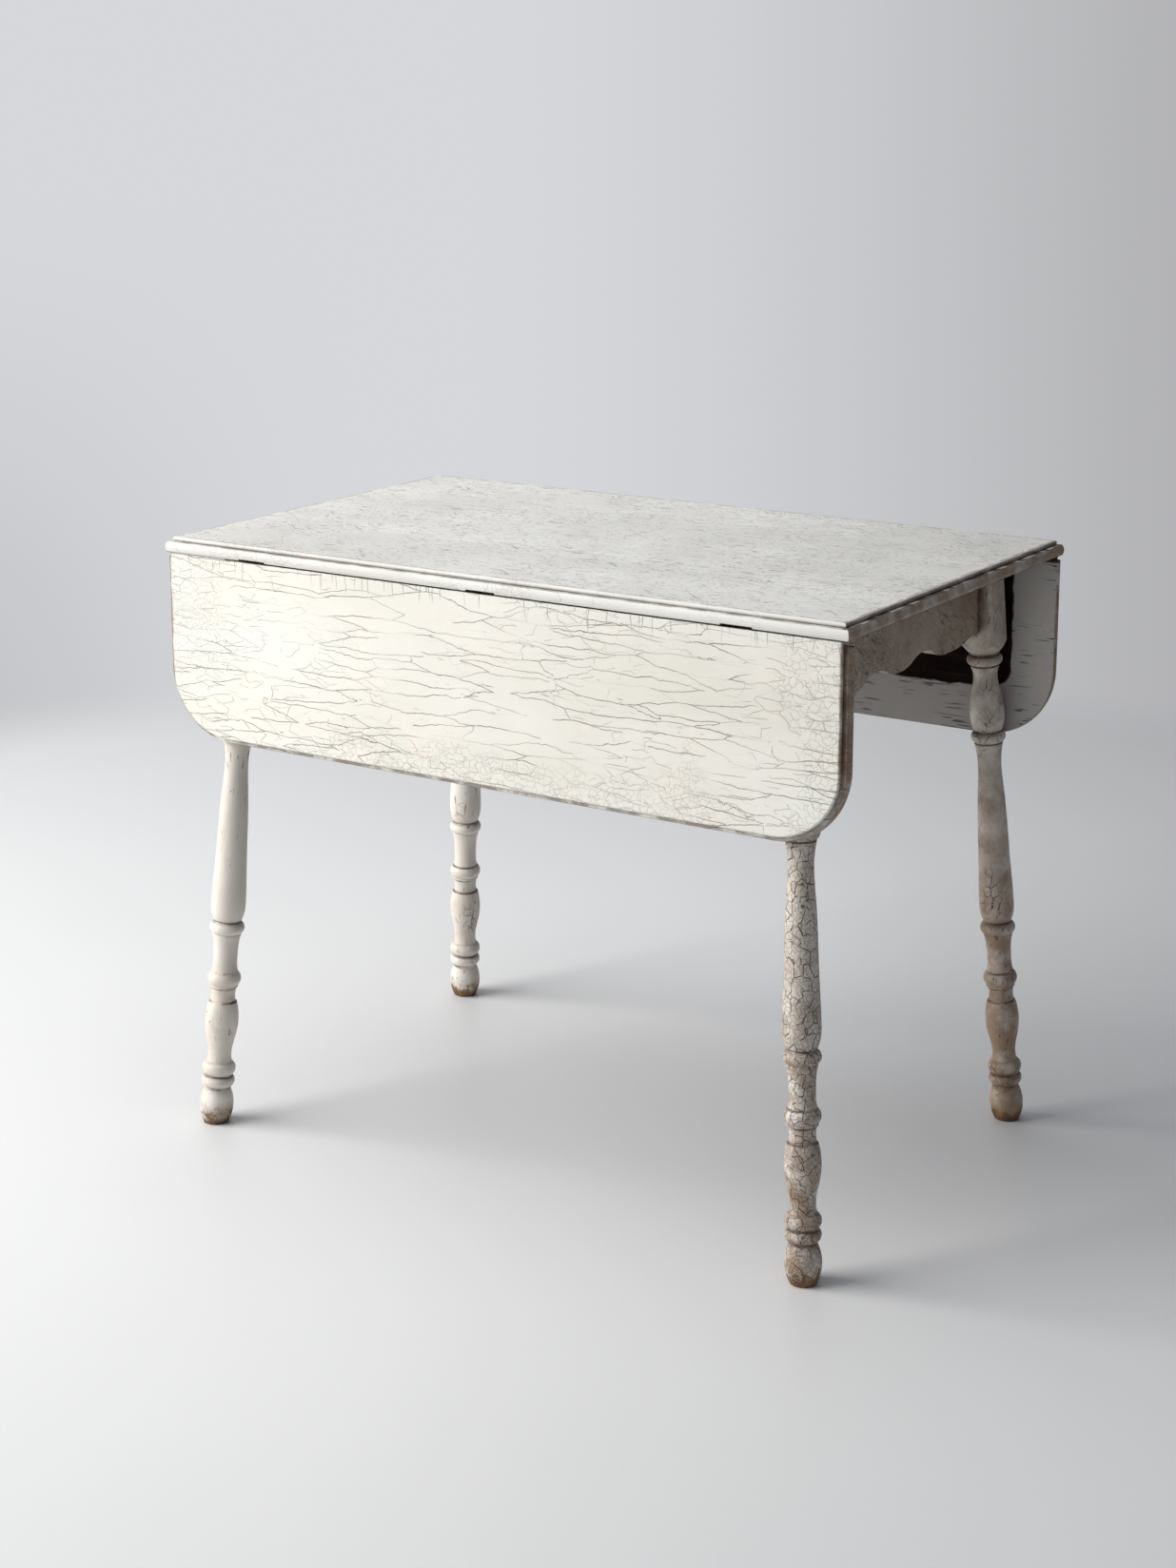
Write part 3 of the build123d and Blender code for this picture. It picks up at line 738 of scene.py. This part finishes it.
def make_world():
    """A plain grey backdrop: dim as light, and where it is seen, with painted shade that makes it darker
    to the right and a little at the lower left."""
    world = bpy.data.worlds.new("backdrop")
    world.use_nodes = True
    bpy.context.scene.world = world
    g = Graph(world.node_tree)
    back = next(n for n in g.tree.nodes if n.type == "BACKGROUND")
    seen = g.node("ShaderNodeLightPath").outputs["Is Camera Ray"]
    toward = g.node("ShaderNodeTexCoord").outputs["Generated"]
    right = g.vector("DOT_PRODUCT", toward, VIEW_RIGHT)
    # Painted shade: the seen backdrop darkens to the right and a little at the lower left.
    wall = g.mix(g.span(right, -0.05, 0.32), WALL_LEFT, WALL_RIGHT_PAINTED_SHADE)
    low = g.span(g.parts(toward)[2], -0.26, -0.05, 1.0, 0.0)
    low_left = g.math("MULTIPLY", low, g.span(right, -0.26, -0.08, 1.0, 0.0))
    wall = g.mix(low_left, wall, WALL_LOW_LEFT_PAINTED_SHADE)
    g.feed(back.inputs["Color"], g.mix(seen, SKYLIGHT, wall))
    strength = g.math("MULTIPLY_ADD", seen, 1.0 - SKYLIGHT_STRENGTH, SKYLIGHT_STRENGTH)
    g.feed(back.inputs["Strength"], strength)


# The scene ----------------------------------------------------------------------------------

SLOTS = {
    "leaf_paint": paint("leaf_crackle", LEAF_LOOK),
    "top_paint": paint("top_worn_paint", TOP_LOOK),
    "leg_paint": paint("leg_crackle", LEG_LOOK),
    "apron_paint": paint("apron_brushed", APRON_LOOK),
    "bare_wood": bare_wood(),
    "dark_iron": dark_iron(),
}

for part in frame["record"]["subparts"]:
    for slot in NODES[part["node"]].material_slots:
        slot.material = SLOTS[part["material_slot"]]

make_camera()
make_floor()
make_world()
area_light(
    "window",
    place=(-2.8, -2.2, 2.1),
    target=(0.0, 0.0, 0.45),
    size=(3.0, 3.0),
    power=211.0,
    colour=(1.0, 0.99, 0.97),
)
area_light(
    "back_fill",
    place=(-2.4, 2.3, 1.7),
    target=(0.0, 0.0, 0.0),
    size=(3.0, 1.8),
    power=16.0,
    colour=(0.99, 0.99, 1.0),
)
area_light(
    "high_fill",
    place=(-0.6, -0.4, 3.4),
    target=(0.0, 0.0, 0.3),
    size=(2.5, 2.5),
    power=34.0,
    colour=(0.97, 0.98, 1.0),
)
bpy.context.scene.view_settings.view_transform = "Standard"
